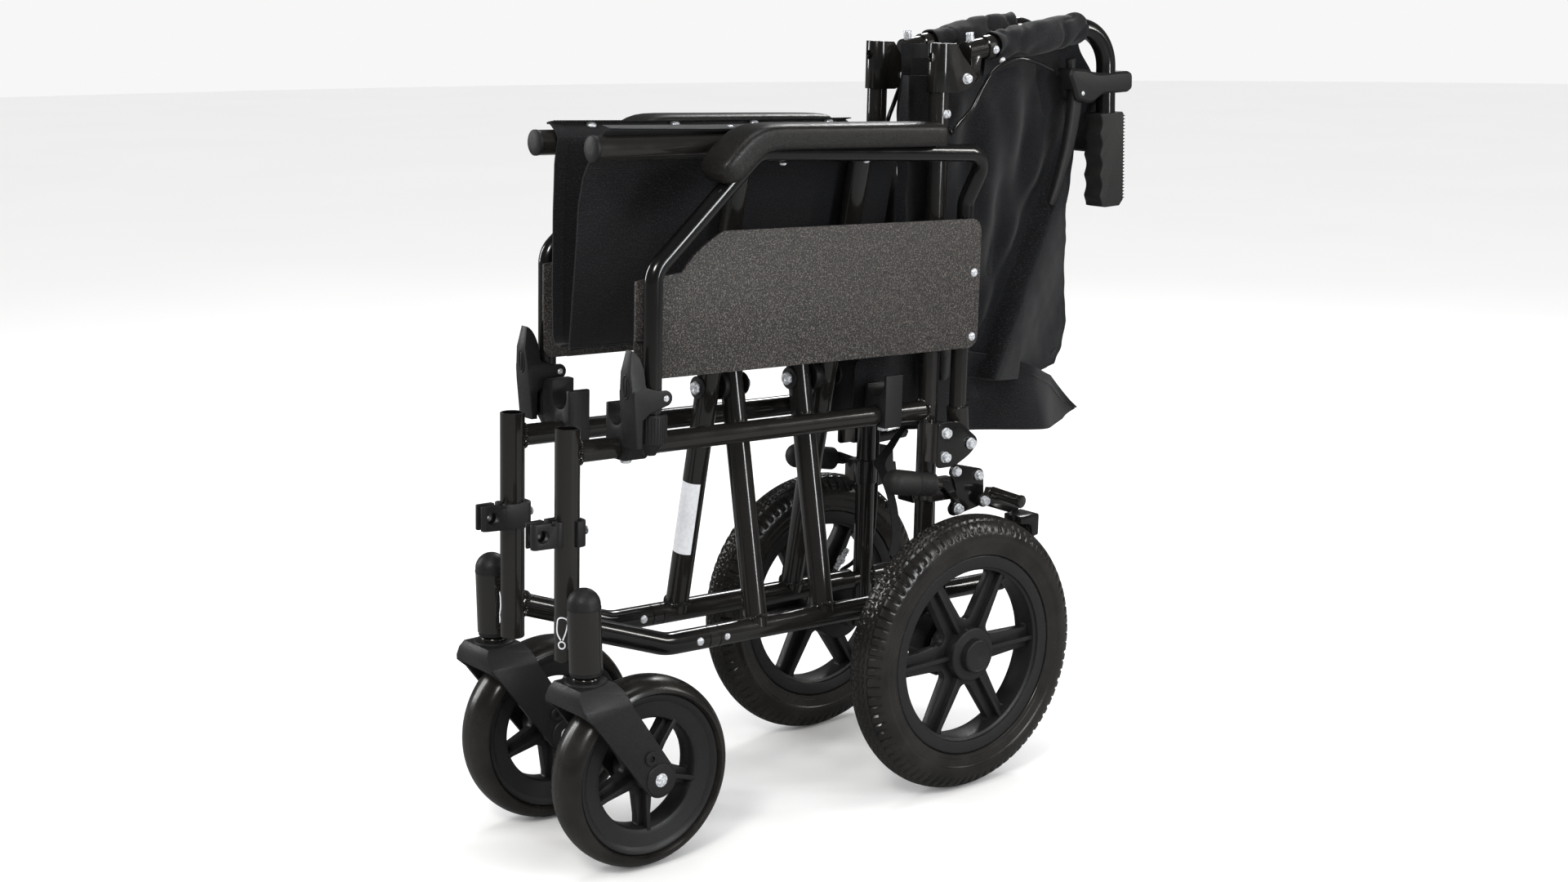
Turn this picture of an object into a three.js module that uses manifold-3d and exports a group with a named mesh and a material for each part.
// Transport wheelchair, folded side to side with its back folded down and its footrests taken off.
// Millimetres, +Z up, -Y is the front of the chair and +X is the chair's left side.
// The frame leans back by TILT on its wheels, so everything but the wheels and casters is built in a
// leaning chassis group. Each left-hand piece is mirrored to make the right-hand one.

import * as THREE from 'three';
import { mergeVertices } from 'three/addons/utils/BufferGeometryUtils.js';
import Module from 'manifold-3d';

const wasm = await Module();
wasm.setup();

// ---------------------------------------------------------------- driving dimensions
const DEG = Math.PI / 180;
const TILT = 2.3 * DEG; // lean of the chassis
const ORIGIN_BACK = 135.97; // from the front-to-back middle of the box to the design zero
const GAP = 0.3; // clearance between pieces that touch

const FRAME_X = 51.5; // side frames, and the axis of the lower brace pivots
const POST_Y = -246.5;
const POST_R = 12.7;
const POST_BORE_R = 10.2;
const TUBE_R = 11.1;
const LOWER_R = 12;
const CANE_Y = 228.6;
const CANE_TOP = 797;
const UPPER_Z = 422; // side tube under the seat
const LOWER_Z = 207.5; // lower side tube
const SLEEVE_FRONT = -61.5;
const SLEEVE_BACK = 209;
const PIVOT_ROD_R = 8;

const SEAT_Z = 718.5; // seat tubes while the chair is folded
const CROSS_Z = (SEAT_Z + LOWER_Z) / 2;
const SEAT_FRONT = -219;
const SEAT_BACK = 205;
const SEAT_R = 12.7;
const SADDLE_Z = 458; // seat tubes while the chair is open
const LEFT_LEGS = [-6.3, 85];
const RIGHT_LEGS = [-38.5, 121.4];

const REAR_WHEEL = { x: 130.5, y: 227.3, r: 154.4, half: 24, rim: 112.3, spokes: 6 };
const CASTER = { x: 87.4, y: -238.5, trail: 62, r: 100, half: 24, rim: 84.3, spokes: 5 };

const HINGE = { y: 255.7, z: 786, fold: 81 * DEG }; // back hinge
const HANDLE_Z = 1020.2; // height of the handle's corner with the back up
const HANDLE_DROP = 5.6 * DEG;
const HANDLE_LENGTH = 208;

const ARM_X = 96;
const ARM_R = 9.5;
const ARM_FRONT = -177;
const ARM_PIVOT = { y: 262, z: 386 };
const ARM_REAR_X = 70;

// ---------------------------------------------------------------- materials
const paint = (color, roughness, metalness) => () =>
  new THREE.MeshStandardMaterial({ color, roughness, metalness });
const blackPaint = paint('#0b0b0c', 0.25, 0.3);
const texturedPlastic = paint('#2a2926', 0.65, 0);
const smoothPlastic = paint('#151516', 0.45, 0);
const rubber = paint('#121213', 0.5, 0);
const padSkin = paint('#1b1a19', 0.7, 0);
const cloth = paint('#0d0e12', 0.9, 0);
const zinc = paint('#b9bcc0', 0.3, 1);

// ---------------------------------------------------------------- geometry helpers
const vec = (x, y, z) => new THREE.Vector3(x, y, z);

/** Turns a closed three.js geometry into a solid that can be joined and cut. */
function solid(geometry) {
  const bare = geometry.clone();
  bare.deleteAttribute('normal');
  bare.deleteAttribute('uv');
  const merged = mergeVertices(bare, 1e-4);
  const points = merged.attributes.position.array;
  const triangles = Uint32Array.from(merged.index.array);
  if (signedVolume(points, triangles) < 0) triangles.reverse();
  return new wasm.Manifold(new wasm.Mesh({ numProp: 3, vertProperties: points, triVerts: triangles }));
}

function signedVolume(points, triangles) {
  const corner = (i) => new THREE.Vector3().fromArray(points, 3 * triangles[i]);
  let volume = 0;
  for (let i = 0; i < triangles.length; i += 3) {
    volume += corner(i).dot(corner(i + 1).cross(corner(i + 2))) / 6;
  }
  return volume;
}

/** Turns a solid back into a three.js geometry, mirrored across X = 0 when asked. */
function geometryOf(shape, mirror) {
  const mesh = shape.getMesh();
  const points = Float32Array.from(mesh.vertProperties);
  const triangles = Uint32Array.from(mesh.triVerts);
  if (mirror) {
    for (let i = 0; i < points.length; i += 3) points[i] = -points[i];
    triangles.reverse();
  }
  const geometry = new THREE.BufferGeometry();
  geometry.setAttribute('position', new THREE.BufferAttribute(points, 3));
  geometry.setIndex(new THREE.BufferAttribute(triangles, 1));
  geometry.computeVertexNormals();
  return geometry;
}

const join = (...shapes) => shapes.reduce((whole, shape) => whole.add(shape));
const cut = (shape, ...tools) => tools.reduce((rest, tool) => rest.subtract(tool), shape);

/** A round bar between two points. */
function rod(from, to, radius, sides = 16, endRadius = radius) {
  const along = to.clone().sub(from);
  const geometry = new THREE.CylinderGeometry(endRadius, radius, along.length(), sides);
  geometry.applyQuaternion(new THREE.Quaternion().setFromUnitVectors(vec(0, 1, 0), along.normalize()));
  const middle = from.clone().add(to).multiplyScalar(0.5);
  return solid(geometry.translate(middle.x, middle.y, middle.z));
}

const rodX = (x0, x1, y, z, radius, sides) => rod(vec(x0, y, z), vec(x1, y, z), radius, sides);
const rodY = (y0, y1, x, z, radius, sides) => rod(vec(x, y0, z), vec(x, y1, z), radius, sides);
const rodZ = (z0, z1, x, y, radius, sides) => rod(vec(x, y, z0), vec(x, y, z1), radius, sides);

function block(x0, x1, y0, y1, z0, z1) {
  const geometry = new THREE.BoxGeometry(x1 - x0, y1 - y0, z1 - z0);
  return solid(geometry.translate((x0 + x1) / 2, (y0 + y1) / 2, (z0 + z1) / 2));
}

const outline = (points) => new THREE.Shape(points.map(([u, v]) => new THREE.Vector2(u, v)));

/** An outline in the side view, (y, z), given a thickness from x0 to x1. */
function sidePlate(points, x0, x1) {
  const geometry = new THREE.ExtrudeGeometry(outline(points), { depth: x1 - x0, bevelEnabled: false });
  const axes = new THREE.Matrix4().makeBasis(vec(0, 1, 0), vec(0, 0, 1), vec(1, 0, 0));
  return solid(geometry.applyMatrix4(axes).translate(x0, 0, 0));
}

/** An outline in the front view, (x, z), given a length from y0 to y1. */
function frontPlate(points, y0, y1) {
  const geometry = new THREE.ExtrudeGeometry(outline(points), { depth: y1 - y0, bevelEnabled: false });
  const axes = new THREE.Matrix4().makeBasis(vec(1, 0, 0), vec(0, 0, 1), vec(0, -1, 0));
  return solid(geometry.applyMatrix4(axes).translate(0, y1, 0));
}

/** Points of an arc in a plane, from one angle to another in degrees. */
function arc(u, v, radius, from, to, steps) {
  const points = [];
  for (let i = 0; i <= steps; i++) {
    const angle = (from + ((to - from) * i) / steps) * DEG;
    points.push([u + radius * Math.cos(angle), v + radius * Math.sin(angle)]);
  }
  return points;
}

/** Straight runs joined by round bends, with one ring where the pipe starts, ends or turns. */
class PipeRoute extends THREE.Curve {
  constructor(corners, bend) {
    super();
    this.rings = [];
    corners.forEach((corner, i) => {
      const before = corners[i - 1];
      const after = corners[i + 1];
      if (!before || !after) {
        const tangent = (after ?? corner).clone().sub(before ?? corner);
        this.rings.push({ point: corner, tangent: tangent.normalize() });
        return;
      }
      const arriving = corner.clone().sub(before).normalize();
      const leaving = after.clone().sub(corner).normalize();
      const turn = arriving.angleTo(leaving);
      const axis = arriving.clone().cross(leaving).normalize();
      const inward = leaving.clone().sub(arriving).normalize();
      const centre = corner.clone().addScaledVector(inward, bend / Math.cos(turn / 2));
      const spoke = corner.clone().addScaledVector(arriving, -bend * Math.tan(turn / 2)).sub(centre);
      const steps = Math.max(1, Math.ceil(turn / (18 * DEG)));
      for (let k = 0; k <= steps; k++) {
        const angle = (turn * k) / steps;
        this.rings.push({
          point: spoke.clone().applyAxisAngle(axis, angle).add(centre),
          tangent: arriving.clone().applyAxisAngle(axis, angle),
        });
      }
    });
  }

  ring(u) {
    return this.rings[Math.round(u * (this.rings.length - 1))];
  }

  getPointAt(u) {
    return this.ring(u).point.clone();
  }

  getTangentAt(u) {
    return this.ring(u).tangent.clone();
  }
}

function pipe(corners, radius, bend, sides = 14) {
  const route = new PipeRoute(corners, bend);
  const section = outline(arc(0, 0, radius, 0, 360 - 360 / sides, sides - 1));
  const settings = { steps: route.rings.length - 1, extrudePath: route, bevelEnabled: false };
  return solid(new THREE.ExtrudeGeometry(section, settings));
}

/** A closed (radius, x) profile turned about the X axis through (y, z). */
function turned(profile, x, y, z, segments = 32) {
  const points = [...profile, profile[0]].map(([radius, along]) => new THREE.Vector2(radius, along));
  const geometry = new THREE.LatheGeometry(points, segments);
  return solid(geometry.rotateZ(-90 * DEG).translate(x, y, z));
}

/** A point given in the upright floor frame, in the leaning chassis frame. */
function toChassis(x, y, z) {
  return vec(x, y, z).applyAxisAngle(vec(1, 0, 0), TILT);
}

/** The same shape turned with the folded back: it is designed with the back up. */
function foldedBack(shape) {
  const lean = new THREE.Matrix4()
    .makeTranslation(0, HINGE.y, HINGE.z)
    .multiply(new THREE.Matrix4().makeRotationX(-HINGE.fold))
    .multiply(new THREE.Matrix4().makeTranslation(0, -HINGE.y, -HINGE.z));
  return solid(geometryOf(shape, false).applyMatrix4(lean));
}

// ---------------------------------------------------------------- the scene graph
const chair = new THREE.Group();
chair.position.y = -ORIGIN_BACK;
const chassis = new THREE.Group();
chassis.rotation.x = -TILT;
chair.add(chassis);

function add(group, name, shape, material, mirror = false) {
  const mesh = new THREE.Mesh(geometryOf(shape, mirror), material());
  mesh.name = name;
  group.add(mesh);
}

function addPair(group, name, shape, material) {
  add(group, `${name}_left`, shape, material);
  add(group, `${name}_right`, shape, material, true);
}

// ---------------------------------------------------------------- side frames
function sideFrame() {
  const post = rodZ(211, 447, FRAME_X, POST_Y, POST_R, 16);
  const upper = rodY(POST_Y, CANE_Y, FRAME_X, UPPER_Z, TUBE_R);
  const lowerRoute = [
    vec(FRAME_X, POST_Y, 247),
    vec(FRAME_X, -125, LOWER_Z),
    vec(FRAME_X, SLEEVE_FRONT - GAP, LOWER_Z),
  ];
  const lower = pipe(lowerRoute, LOWER_R, 60, 16);
  const pivotRod = rodY(-70, CANE_Y, FRAME_X, LOWER_Z, PIVOT_ROD_R);
  const cane = rodZ(150, CANE_TOP, FRAME_X, CANE_Y, TUBE_R);
  const tippingBar = rodY(CANE_Y, 350, FRAME_X, LOWER_Z + 2, TUBE_R);
  const axleBoss = rodX(FRAME_X, 72, 220.9, 163.4, 15);
  const housing = rod(toChassis(CASTER.x, CASTER.y, 218), toChassis(CASTER.x, CASTER.y, 284), 17, 16);
  const stemBore = rod(toChassis(CASTER.x, CASTER.y, 210), toChassis(CASTER.x, CASTER.y, 264), 8.5);
  const weldRib = block(58, 74, -252, -242, 214, 272);
  const postBore = rodZ(300, 460, FRAME_X, POST_Y, POST_BORE_R, 16);
  const whole = join(post, upper, lower, pivotRod, cane, tippingBar, axleBoss, housing, casterCap(), weldRib);
  return cut(whole, stemBore, postBore);
}

/** Domed cap over the top of the caster housing. */
function casterCap() {
  const profile = [[0, 0], ...arc(0, 6, 17, 0, 84, 5), [0, 23]];
  const geometry = new THREE.LatheGeometry(profile.map(([r, z]) => new THREE.Vector2(r, z)), 16);
  const foot = toChassis(CASTER.x, CASTER.y, 281);
  return solid(geometry.rotateX(90 * DEG + TILT).translate(foot.x, foot.y, foot.z));
}

/** Snap-in holder on the front post that takes the footrest's lower pin. */
function footrestClip() {
  const z = 342;
  const ring = rodZ(z - 13, z + 13, FRAME_X, POST_Y, 17, 20);
  const jaw = block(FRAME_X - 14, FRAME_X + 5, POST_Y - 46, POST_Y - 12, z - 13, z + 13);
  const mouth = block(FRAME_X + 8, FRAME_X + 20, POST_Y - 20, POST_Y + 2, z - 20, z + 20);
  const hole = rodX(FRAME_X - 20, FRAME_X + 20, POST_Y - 31, z, 7, 14);
  const screwBoss = rodY(POST_Y + 14, POST_Y + 24, FRAME_X, z, 6, 12);
  const bore = rodZ(z - 20, z + 20, FRAME_X, POST_Y, POST_R + GAP, 20);
  return cut(join(ring, jaw, screwBoss), hole, bore, mouth);
}

// ---------------------------------------------------------------- folding cross brace
/** One scissor member: a sleeve on its own side's lower rod, two legs and the far seat tube. */
function crossBrace(side, legs) {
  const foot = side * FRAME_X;
  const sleeve = rodY(SLEEVE_FRONT, SLEEVE_BACK, foot, LOWER_Z, LOWER_R, 16);
  const seatTube = rodY(SEAT_FRONT, SEAT_BACK, -foot, SEAT_Z, SEAT_R, 16);
  const endCap = rodY(SEAT_FRONT - 3, SEAT_FRONT + 1, -foot, SEAT_Z, SEAT_R + 0.6, 16);
  const parts = legs.map((y) => rod(vec(foot, y, LOWER_Z), vec(-foot, y, SEAT_Z), 12.7, 16));
  const rodBore = rodY(-80, 230, foot, LOWER_Z, PIVOT_ROD_R + GAP, 16);
  const boltBore = rodY(-80, 160, 0, CROSS_Z, 4.4, 12);
  return cut(join(sleeve, seatTube, endCap, ...parts), rodBore, boltBore);
}

/** Centre bolt through a pair of legs, with the round spacer between them. */
function crossBolt(head, spacerFrom, spacerTo, nut) {
  const away = Math.sign(nut - head);
  const shaft = rodY(head, nut, 0, CROSS_Z, 4, 12);
  const hexHead = rodY(head - 5 * away, head, 0, CROSS_Z, 7.5, 6);
  const hexNut = rodY(nut, nut + 7 * away, 0, CROSS_Z, 7.5, 6);
  const spacer = rodY(spacerFrom, spacerTo, 0, CROSS_Z, 15, 18);
  return join(shaft, hexHead, hexNut, spacer);
}

/** Half of the seat cloth: wrapped over its seat tube and hanging inside the V of the legs. */
function seatSling(legs) {
  const lean = Math.atan2(FRAME_X, CROSS_Z - LOWER_Z);
  const down = new THREE.Vector2(-Math.sin(lean), -Math.cos(lean));
  const inward = new THREE.Vector2(-Math.cos(lean), Math.sin(lean));
  const at = (along, across) => [
    FRAME_X + down.x * along + inward.x * across,
    SEAT_Z + down.y * along + inward.y * across,
  ];
  const degrees = lean / DEG;
  const wrap = frontPlate(
    [
      ...arc(FRAME_X, SEAT_Z, 17, 180 - degrees, -4, 10),
      ...arc(FRAME_X, SEAT_Z, 13.5, -4, 180 - degrees, 10),
    ],
    -203, 184,
  );
  const sheet = frontPlate([at(0, 13.5), at(0, 17), at(166, 17), at(166, 13.5)], -203, 184);
  const tongue = frontPlate([[2.2, 524], [6.2, 524], [8.6, 562], [2.2, 562]], -203, 184);
  const cuts = legs.map((y) => block(0, 12, y - 15, y + 15, 515, 562));
  const saddleGaps = [block(28, 80, -195, -157, 692, 745), block(28, 80, 146, 180, 692, 745)];
  return cut(join(wrap, sheet, tongue), ...cuts, ...saddleGaps);
}

// ---------------------------------------------------------------- saddles on the side tube
/** Plastic block clamped on the side tube: the seat tube drops in its notch when the chair opens. */
function frontSaddle() {
  const y0 = -190;
  const y1 = -164;
  const inner = [[34, 410], [69, 410], [69, 474], [FRAME_X + 13.4, 474], [FRAME_X - 13.4, 466], [34, 466]];
  const body = frontPlate(inner, y0, y1);
  const web = frontPlate([[68, 424], [84, 434], [84, 456], [68, 456]], y0 + 4, y1);
  const cup = rodZ(434, 462, ARM_X, ARM_FRONT, 14.5, 18);
  const cupTail = block(ARM_X - 14.5, ARM_X + 14.5, ARM_FRONT, ARM_FRONT + 8, 434, 462);
  const legRoom = rodZ(437, 470, ARM_X, ARM_FRONT, 10.4, 18);
  const tailRoom = block(ARM_X - 10.4, ARM_X + 10.4, ARM_FRONT, ARM_FRONT + 5, 437, 470);
  const frontOpening = block(ARM_X - 10.4, ARM_X + 10.4, ARM_FRONT - 20, ARM_FRONT, 437, 470);
  const tubeBore = rodY(y0 - 5, y1 + 5, FRAME_X, UPPER_Z, TUBE_R + GAP);
  const notch = rodY(y0 - 5, y1 + 5, FRAME_X, SADDLE_Z, 13.4, 20);
  const notchMouth = block(FRAME_X - 13.4, FRAME_X + 13.4, y0 - 5, y1 + 5, SADDLE_Z, 480);
  const bolt = rodZ(403, 411, FRAME_X, -177, 6, 6);
  const clamp = join(body, web, cup, cupTail, bolt);
  return cut(clamp, legRoom, tailRoom, frontOpening, tubeBore, notch, notchMouth);
}

function rearSaddle() {
  const y0 = 151;
  const y1 = 175;
  const body = frontPlate([[34, 410], [69, 410], [69, 468], [65, 468], [65, 456], [34, 456]], y0, y1);
  const tubeBore = rodY(y0 - 5, y1 + 5, FRAME_X, UPPER_Z, TUBE_R + GAP);
  const notch = rodY(y0 - 5, y1 + 5, FRAME_X, SADDLE_Z, 13.4, 20);
  const bolt = rodZ(403, 411, FRAME_X, (y0 + y1) / 2, 6, 6);
  return cut(join(body, bolt), tubeBore, notch);
}

// ---------------------------------------------------------------- flip-back armrest
function armRoute() {
  return [
    vec(ARM_X, ARM_FRONT, 437.4),
    vec(ARM_X, ARM_FRONT, 602),
    vec(ARM_X, -52, 715),
    vec(ARM_X, 262, 708),
    vec(ARM_REAR_X, 257, 654),
    vec(ARM_REAR_X, 256, 420),
  ];
}

function armTube() {
  const tube = pipe(armRoute(), ARM_R, 26, 14);
  const socket = rod(vec(ARM_REAR_X, 256, 427), vec(ARM_REAR_X, ARM_PIVOT.y, 374), 12.3, 18);
  const pinBore = rodX(50, 90, ARM_PIVOT.y, ARM_PIVOT.z, 4.4, 12);
  return cut(join(tube, socket), pinBore);
}

function armPad() {
  const side = [
    [186, 716.5], [186, 737], [180, 742], [-62, 744], [-74, 740], [-113, 706],
    [-115, 695], [-98, 683], [-90, 684], [-50, 714], [-44, 716.5],
  ];
  const body = sidePlate(side, ARM_X - 25, ARM_X + 25);
  return cut(body, pipe(armRoute(), ARM_R + GAP, 26, 14));
}

function sidePanel() {
  const side = [
    [-161, 493.5], [268, 493.5], ...arc(256, 622, 14, 0, 90, 3), [-84, 637],
    [-118, 622], [-135, 598], [-190, 592], [-190, 533], [-161, 533],
  ];
  return sidePlate(side, 81.6, 85.6);
}

/** Pointed lever astride the arm's front leg; its tail holds the leg down in the saddle's cup. */
function armLatch() {
  const side = [
    [-205, 527], [-199, 529], [-194, 512], [-192, 490], [-176, 487], [-166, 484],
    [-164, 477], [-168, 470], [-188, 464], [-197, 458], [-197, 430], [-203, 430], [-207, 470], [-209, 505],
  ];
  const body = sidePlate(side, ARM_X - 13, ARM_X + 13);
  const legRoom = block(ARM_X - 10.2, ARM_X + 10.2, -192, -150, 440, 520);
  return cut(body, legRoom);
}

function armPivotBracket() {
  const triangle = [
    [214, 364], [240, 364], [262, 374], ...arc(ARM_PIVOT.y, ARM_PIVOT.z, 12, -60, 60, 4),
    [240, 412], [214, 412],
  ];
  const plate = sidePlate(triangle, 83.5, 86.5);
  const spacer = block(60, 84, 218, 238, 366, 410);
  const stopShape = [[226, 364], [240, 364], [292, 367], [296, 374], [288, 380], [240, 374]];
  const stopArm = sidePlate(stopShape, 54, 57.2);
  const stopJoin = block(54, 61.5, 226, 240, 366, 374);
  const caneBore = rodZ(350, 420, FRAME_X, CANE_Y, TUBE_R + GAP);
  const pin = rodX(54.5, 90, ARM_PIVOT.y, ARM_PIVOT.z, 4, 12);
  const bolts = [401, 374].map((z) => rodX(86, 91, 225, z, 6, 6));
  return cut(join(plate, spacer, stopArm, stopJoin, pin, ...bolts), caneBore);
}

// ---------------------------------------------------------------- wheel lock
const LOCK = { lever: { y: 250, z: 312 }, shoe: { y: 285.6, z: 318 } };

function wheelLockPlate() {
  const side = [
    ...arc(250, 353, 9, 170, 80, 3), ...arc(284, 346, 8, 75, 0, 3),
    ...arc(286, 318, 8, 0, -80, 3), ...arc(250, 312, 9, -90, -170, 3),
  ];
  const plate = sidePlate(side, 76, 79);
  const clampBlock = block(58, 76.5, 218, 256, 322, 346);
  const caneBore = rodZ(300, 360, FRAME_X, CANE_Y, TUBE_R + GAP);
  const bolts = [[249, 354], [284, 346]].map(([y, z]) => rodX(78, 84, y, z, 5.5, 12));
  return cut(join(plate, clampBlock, ...bolts), caneBore);
}

function wheelLockLever() {
  const { y, z } = LOCK.lever;
  const boss = rodX(79.3, 84, y, z, 7, 14);
  const barShape = [[y - 6, z], [y + 6, z + 2], [y, z + 22], [215, 352], [198, 354], [198, 340]];
  const bar = sidePlate(barShape, 79.6, 83.6);
  const grip = rod(vec(86, 141, 356), vec(86, 206, 345), 14, 14, 13);
  const neck = rod(vec(84, 200, 346), vec(83, 222, 342), 5, 10);
  return join(boss, bar, grip, neck);
}

function wheelLockShoe() {
  const { y, z } = LOCK.shoe;
  const arm = sidePlate([...arc(y, z, 7, 60, 300, 8), [336, 296], [342, 304], [336, 314]], 84.6, 88.6);
  const foot = sidePlate([[318, 300], [344, 300], [344, 278], [336, 276], [334, 290], [318, 292]], 88, 116);
  const peg = rod(vec(88, 296, 327), vec(130, 304, 322), 6.5, 12);
  const web = sidePlate([[288, 320], [306, 320], [304, 330], [290, 332]], 84.6, 92);
  return join(arm, foot, peg, web);
}

// ---------------------------------------------------------------- folding back
function backHingeBracket() {
  const bottom = 771;
  const top = 823.5;
  const shell = rodZ(bottom, top, FRAME_X, CANE_Y, 13.6, 20);
  const rear = block(30, 75, CANE_Y, 260, bottom - 5, top + 5);
  const cheekSide = [
    [CANE_Y - 1, bottom], [243, bottom], ...arc(HINGE.y, HINGE.z, 12, -100, 40, 6), [248, 812],
    [240, top], [CANE_Y - 1, top],
  ];
  const cheeks = [FRAME_X - 13.6, FRAME_X + 11.6].map((x) => sidePlate(cheekSide, x, x + 2));
  const bore = rodZ(bottom - 5, top + 5, FRAME_X, CANE_Y, TUBE_R + GAP);
  const room = block(FRAME_X - 11.6, FRAME_X + 11.6, CANE_Y, 275, bottom - 5, top + 5);
  const notch = block(FRAME_X - 5.4, FRAME_X + 5.4, 205, CANE_Y, 802.5, top + 5);
  const pin = rodX(FRAME_X - 18, FRAME_X + 18, HINGE.y, HINGE.z, 4, 12);
  return join(cut(join(cut(shell, rear), ...cheeks), bore, room, notch), pin);
}

const handleAxis = { y: Math.cos(HANDLE_DROP), z: -Math.sin(HANDLE_DROP) };

/** A point beside the push handle: along it from its corner, and across it (above is positive). */
const onHandle = (along, across) => [
  CANE_Y + handleAxis.y * along - handleAxis.z * across,
  HANDLE_Z + handleAxis.z * along + handleAxis.y * across,
];

function pushHandle() {
  const [endY, endZ] = onHandle(HANDLE_LENGTH, 0);
  const route = [vec(FRAME_X, CANE_Y, 798.6), vec(FRAME_X, CANE_Y, HANDLE_Z), vec(FRAME_X, endY, endZ)];
  const tube = pipe(route, TUBE_R, 45, 16);
  const tongue = sidePlate(
    [...arc(HINGE.y, HINGE.z, 9, 180, 360, 8), [262, 808], [234, 816], [232, 799], [243, 799]],
    FRAME_X - 9, FRAME_X + 9,
  );
  const pinBore = rodX(20, 80, HINGE.y, HINGE.z, 4.4, 12);
  const buttonBore = rodY(210, 229, FRAME_X, 808.2, 5, 12);
  return foldedBack(cut(join(tube, tongue), pinBore, buttonBore));
}

/** Spring button that locks the back upright in the hinge bracket. */
function releaseButton() {
  return foldedBack(rodY(212.4, 221.5, FRAME_X, 808.2, 4.5, 12));
}

/** Hand grip with finger waves underneath. */
function handGrip() {
  const bottom = [];
  for (let i = 0; i <= 20; i++) {
    const along = 102 + (108 * i) / 20;
    bottom.push(onHandle(along, -18.5 - 2.4 * Math.cos((i / 20) * 8 * Math.PI)));
  }
  const top = [onHandle(211, 17), onHandle(205, 20), onHandle(104, 20), onHandle(102, 18)];
  const body = sidePlate([...bottom, ...top], FRAME_X - 15, FRAME_X + 15);
  const [startY, startZ] = onHandle(60, 0);
  const [endY, endZ] = onHandle(HANDLE_LENGTH + GAP, 0);
  return foldedBack(cut(body, rod(vec(FRAME_X, startY, startZ), vec(FRAME_X, endY, endZ), 11.5, 18)));
}

function brakeBody() {
  const side = [
    onHandle(56, 33), onHandle(56, -28), onHandle(50, -50), onHandle(48, -68), onHandle(58, -70),
    onHandle(68, -64), onHandle(84, -58), onHandle(90, -34), onHandle(80, -16), onHandle(80, 33),
  ];
  const body = sidePlate(side, FRAME_X - 13, FRAME_X + 13);
  const cheekRoom = sidePlate(
    [onHandle(72, -40), onHandle(72, -80), onHandle(110, -80), onHandle(110, -40)],
    FRAME_X - 6.5, FRAME_X + 6.5,
  );
  const [startY, startZ] = onHandle(40, 0);
  const [endY, endZ] = onHandle(100, 0);
  const bore = rod(vec(FRAME_X, startY, startZ), vec(FRAME_X, endY, endZ), 11.5, 18);
  return foldedBack(cut(body, cheekRoom, bore));
}

function brakeLever() {
  const side = [
    onHandle(74, -46), onHandle(84, -44), onHandle(120, -50), onHandle(160, -66), onHandle(200, -84),
    onHandle(203, -90), onHandle(198, -93), onHandle(158, -77), onHandle(116, -63), onHandle(84, -56),
    onHandle(74, -54),
  ];
  return foldedBack(sidePlate(side, FRAME_X - 6, FRAME_X + 6));
}

/** Cloth sleeve on the upper cane with the folded cloth beside it. */
function backSleeve() {
  const sleeve = rodZ(840, 966, FRAME_X, CANE_Y, 18, 16);
  const flap = sidePlate([[212, 842], [238, 842], [240, 990], [210, 1004]], 2, 40);
  const bore = rodZ(830, 1010, FRAME_X, CANE_Y, TUBE_R + GAP, 16);
  return foldedBack(cut(join(sleeve, flap), bore));
}

/** Lower half of the back cloth, hanging behind the cane while the chair is folded. */
function backCloth() {
  const side = [
    [249, 420], [290, 384], [405, 384], [418, 400], [418, 768],
    [404, 786], [300, 782], [285, 765], [249, 765],
  ];
  return sidePlate(side, 12, 41.5);
}

// ---------------------------------------------------------------- brake cable
function brakeCable() {
  const route = [
    vec(FRAME_X, 407, 792), vec(58.5, 386, 798), vec(66.5, 352, 806), vec(67.2, 325, 807),
    vec(67.2, 297, 797), vec(67, 279, 777), vec(65, 266, 754), vec(56, 248, 728), vec(50, 243.6, 690), vec(50, 243.6, 290),
    vec(68, 246, 262), vec(76, 240, 224), vec(88, 226, 207),
  ];
  const curve = new THREE.CatmullRomCurve3(route, false, 'centripetal');
  const section = outline(arc(0, 0, 2.5, 0, 315, 7));
  return solid(new THREE.ExtrudeGeometry(section, { steps: 32, extrudePath: curve, bevelEnabled: false }));
}

// ---------------------------------------------------------------- wheels and casters
function tyre(wheel, y, inner, shoulder) {
  const { r, half, rim } = wheel;
  const crown = [];
  for (let i = 0; i <= 6; i++) {
    const angle = ((-90 + 30 * i) * Math.PI) / 180;
    crown.push([shoulder + (r - shoulder) * Math.cos(angle), half * Math.sin(angle)]);
  }
  return turned([[rim, -inner], ...crown, [rim, inner]], wheel.x, y, r);
}

function wheelCentre(wheel, y, hub, ringInner, spokeWidth, bore) {
  const { x, r, rim, spokes } = wheel;
  const outer = rim - GAP;
  const ring = turned([[ringInner, -15], [outer, -18], [outer, 18], [ringInner, 15]], x, y, r);
  const barrel = rodX(x - hub.inboard, x + hub.outboard, y, r, hub.r, 16);
  const arms = [];
  for (let i = 0; i < spokes; i++) {
    const reach = (ringInner + outer) / 2;
    const shapes = [
      new THREE.BoxGeometry(12, spokeWidth, reach - hub.r / 2),
      new THREE.BoxGeometry(26, 5, reach - hub.r / 2),
    ];
    for (const shape of shapes) {
      shape.translate(0, 0, (reach + hub.r / 2) / 2);
      shape.rotateX((2 * Math.PI * (i + hub.phase)) / spokes);
      arms.push(solid(shape.translate(x, y, r)));
    }
  }
  return cut(join(ring, barrel, ...arms), bore);
}

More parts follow.
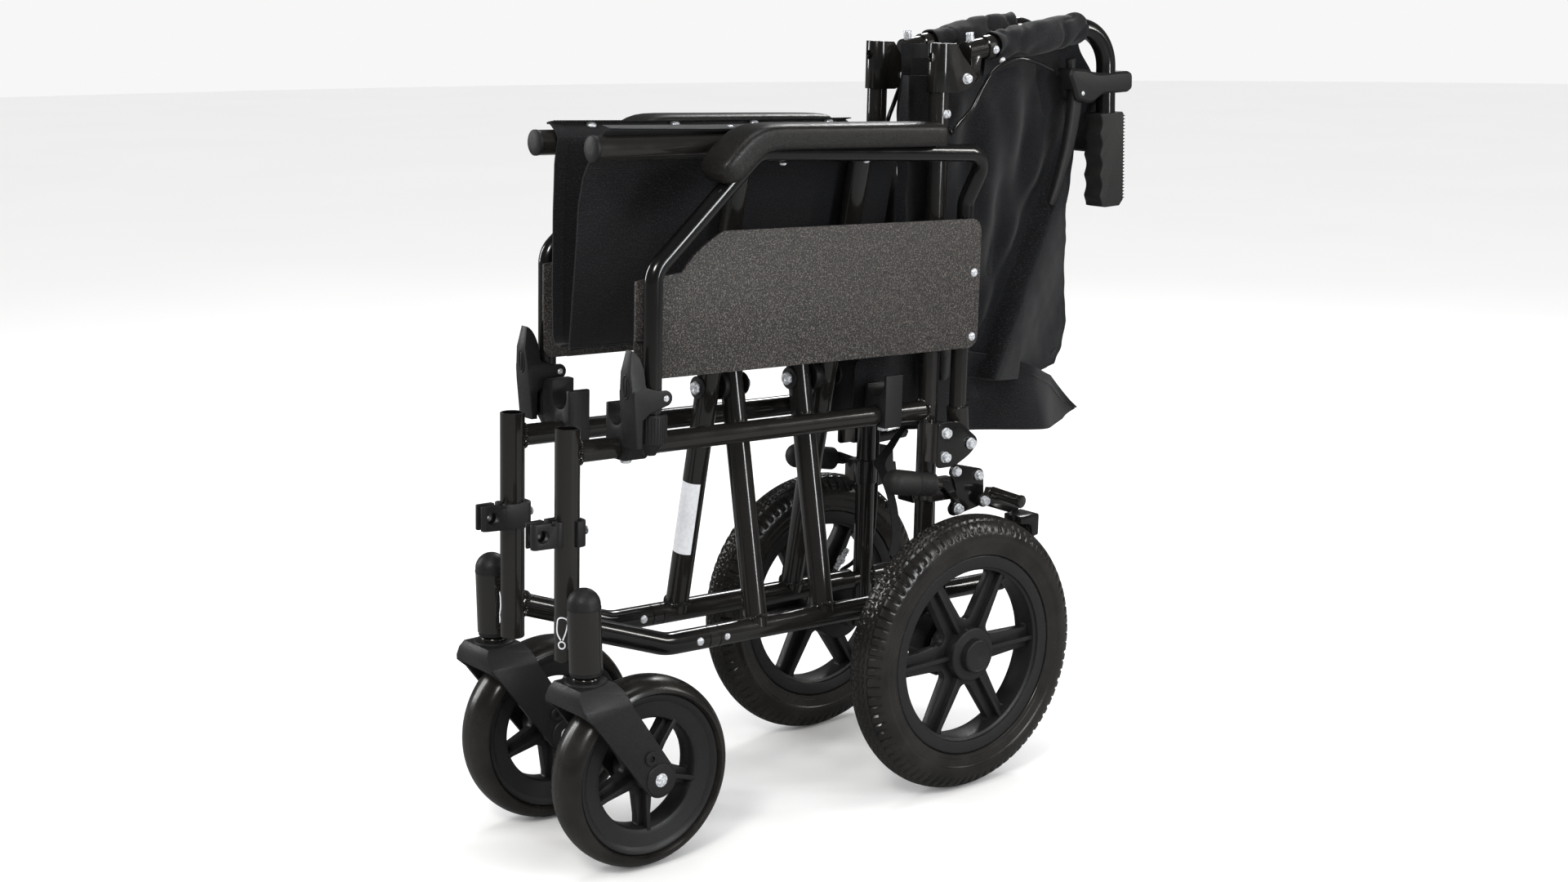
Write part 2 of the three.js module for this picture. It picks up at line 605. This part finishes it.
function rearRim() {
  const { x, y, r } = REAR_WHEEL;
  const hub = { r: 30, inboard: 23, outboard: 18, phase: 0.5 };
  const bore = rodX(x - 40, x + 20, y, r, 8.4, 14);
  const rim = wheelCentre(REAR_WHEEL, y, hub, 96, 22, bore);
  return join(rim, cut(rodX(x + 17, x + 28, y, r, 18.5, 20), bore));
}

function rearAxle() {
  const { x, y, r } = REAR_WHEEL;
  const neck = rodX(72.4, 79, y, r, 13, 16);
  const drum = rodX(78, 104, y, r, 35, 24);
  const axle = rodX(100, x + 19.5, y, r, 8, 14);
  const cableLug = block(82, 94, y - 7, y + 7, r + 28, r + 41);
  return join(neck, drum, axle, cableLug);
}

const CASTER_Y = CASTER.y + CASTER.trail;

function casterRim() {
  const hub = { r: 16, inboard: 28, outboard: 28, phase: 0.5 };
  const bore = rodX(CASTER.x - 40, CASTER.x + 40, CASTER_Y, CASTER.r, 5.4, 12);
  return wheelCentre(CASTER, CASTER_Y, hub, 57, 14, bore);
}

function casterFork() {
  const { x, y, r, trail } = CASTER;
  const at = (back, z) => [y + back, z];
  const eye = arc(y + trail, r, 19, 34, -146, 8);
  const legSide = [at(-26, 207), at(24, 207), at(31, 184), ...eye, at(-14, 174), at(-26, 184)];
  const body = sidePlate(legSide, x - 36.5, x + 36.5);
  const wheelRoom = rodX(x - 30.5, x + 30.5, y + trail, r, 104, 32);
  const legRoom = block(x - 30.5, x + 30.5, y - 40, y + 110, 60, 184);
  const stem = rodZ(200, 262, x, y, 8.1, 16);
  const axle = rodX(x - 39, x + 39, y + trail, r, 5, 12);
  const sideTrim = [-1, 1].map((s) =>
    frontPlate([[x + s * 24, 212], [x + s * 40, 212], [x + s * 40, 186]], y - 60, y + 60));
  return join(cut(body, wheelRoom, legRoom, ...sideTrim), stem, axle);
}

// ---------------------------------------------------------------- put it together
addPair(chassis, 'side_frame', sideFrame(), blackPaint);
addPair(chassis, 'footrest_clip', footrestClip(), texturedPlastic);
addPair(chassis, 'front_saddle', frontSaddle(), texturedPlastic);
addPair(chassis, 'rear_saddle', rearSaddle(), texturedPlastic);

add(chassis, 'cross_brace_left', crossBrace(1, LEFT_LEGS), blackPaint);
add(chassis, 'cross_brace_right', crossBrace(-1, RIGHT_LEGS), blackPaint);
add(chassis, 'cross_bolt_front', crossBolt(-51.5, -25.5, -19.3, 6.7), zinc);
add(chassis, 'cross_bolt_rear', crossBolt(134.4, 98, 108.4, 72), zinc);
add(chassis, 'seat_sling_left', seatSling(RIGHT_LEGS), cloth);
add(chassis, 'seat_sling_right', seatSling(LEFT_LEGS), cloth, true);

addPair(chassis, 'arm_tube', armTube(), blackPaint);
addPair(chassis, 'arm_pad', armPad(), padSkin);
addPair(chassis, 'side_panel', sidePanel(), texturedPlastic);
addPair(chassis, 'arm_latch', armLatch(), texturedPlastic);
addPair(chassis, 'arm_pivot_bracket', armPivotBracket(), blackPaint);
addPair(chassis, 'wheel_lock_plate', wheelLockPlate(), blackPaint);
addPair(chassis, 'wheel_lock_lever', wheelLockLever(), rubber);
addPair(chassis, 'wheel_lock_shoe', wheelLockShoe(), blackPaint);

addPair(chassis, 'back_hinge_bracket', backHingeBracket(), blackPaint);
addPair(chassis, 'push_handle', pushHandle(), blackPaint);
addPair(chassis, 'release_button', releaseButton(), zinc);
addPair(chassis, 'hand_grip', handGrip(), rubber);
addPair(chassis, 'attendant_brake_body', brakeBody(), smoothPlastic);
addPair(chassis, 'attendant_brake_lever', brakeLever(), smoothPlastic);
addPair(chassis, 'back_sleeve', backSleeve(), cloth);
addPair(chassis, 'back_cloth', backCloth(), cloth);
addPair(chassis, 'brake_cable', brakeCable(), rubber);

addPair(chair, 'rear_axle', rearAxle(), blackPaint);
addPair(chair, 'rear_rim', rearRim(), smoothPlastic);
addPair(chair, 'rear_tyre', tyre(REAR_WHEEL, REAR_WHEEL.y, 19, 128), rubber);
addPair(chair, 'caster_fork', casterFork(), texturedPlastic);
addPair(chair, 'caster_rim', casterRim(), smoothPlastic);
addPair(chair, 'caster_tyre', tyre(CASTER, CASTER_Y, 20, 84.3), rubber);

export default chair;
